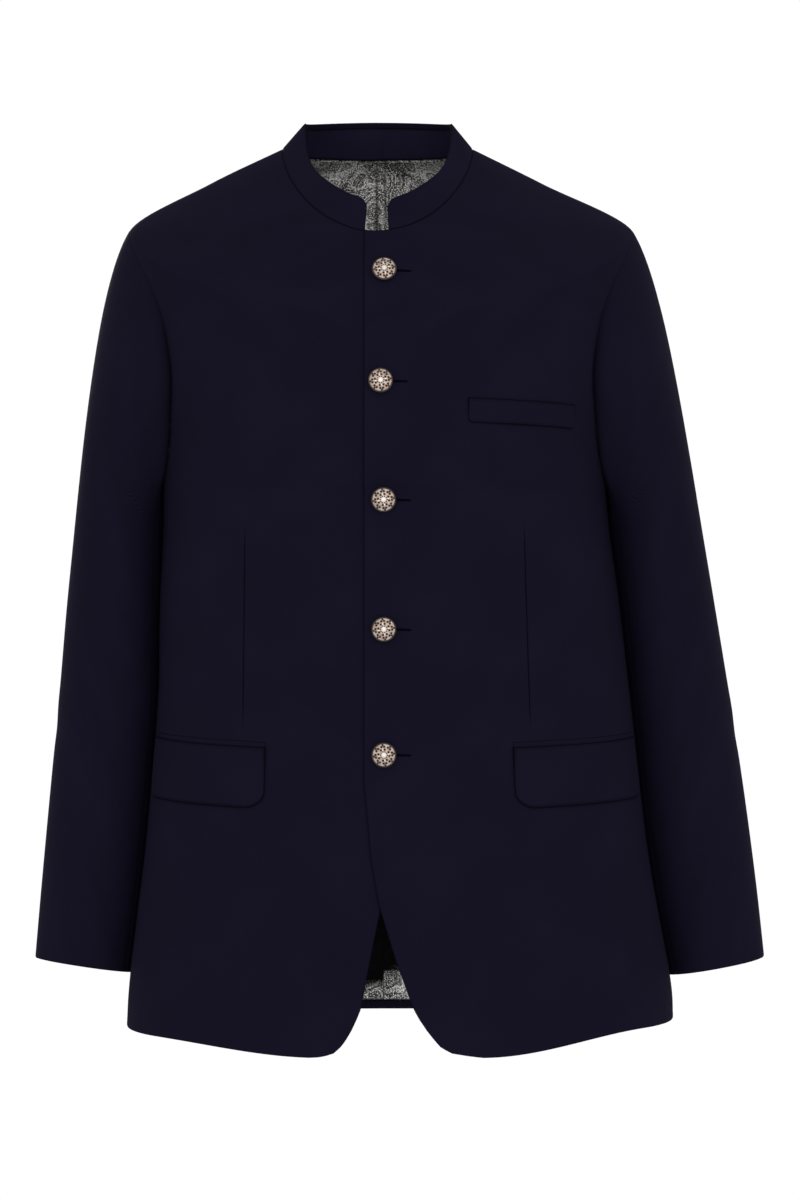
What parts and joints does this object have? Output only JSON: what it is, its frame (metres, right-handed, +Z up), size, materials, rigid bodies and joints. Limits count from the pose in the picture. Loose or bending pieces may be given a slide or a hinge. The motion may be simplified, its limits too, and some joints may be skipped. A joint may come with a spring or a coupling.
{
  "type": "bandhgala jacket",
  "caption": "Tailored stand-collar jacket with buttoned front, two-piece sleeves, flap pockets, chest welt and curved open hem, filled out as worn",
  "frame": {"origin": "the middle of the neckline, level with the two side neck points, where the wearer's shoulders and neck carry the jacket", "axes": "+Z up, -Y the front of the jacket, +X the wearer's left"},
  "size_m": [0.6405, 0.2425, 0.8038],
  "materials": {
    "suiting": "fine dark navy-violet worsted, soft sheen",
    "lining": "grey figured jacquard lining, satin",
    "button_metal": "rose brass, pierced and polished, dark in the recesses"
  },
  "bodies": {
    "root": {"front_right": "suiting", "front_left": "suiting", "back_right": "suiting", "back_left": "suiting", "sleeve_upper_right": "suiting", "sleeve_under_right": "suiting", "sleeve_upper_left": "suiting", "sleeve_under_left": "suiting", "collar_outer": "suiting", "collar_inner": "suiting", "lining_back": "lining", "hem_turnup": "suiting", "chest_welt": "suiting", "flap_right": "suiting", "flap_left": "suiting", "button_1": "button_metal", "button_2": "button_metal", "button_3": "button_metal", "button_4": "button_metal", "button_5": "button_metal"}
  },
  "joints": []
}
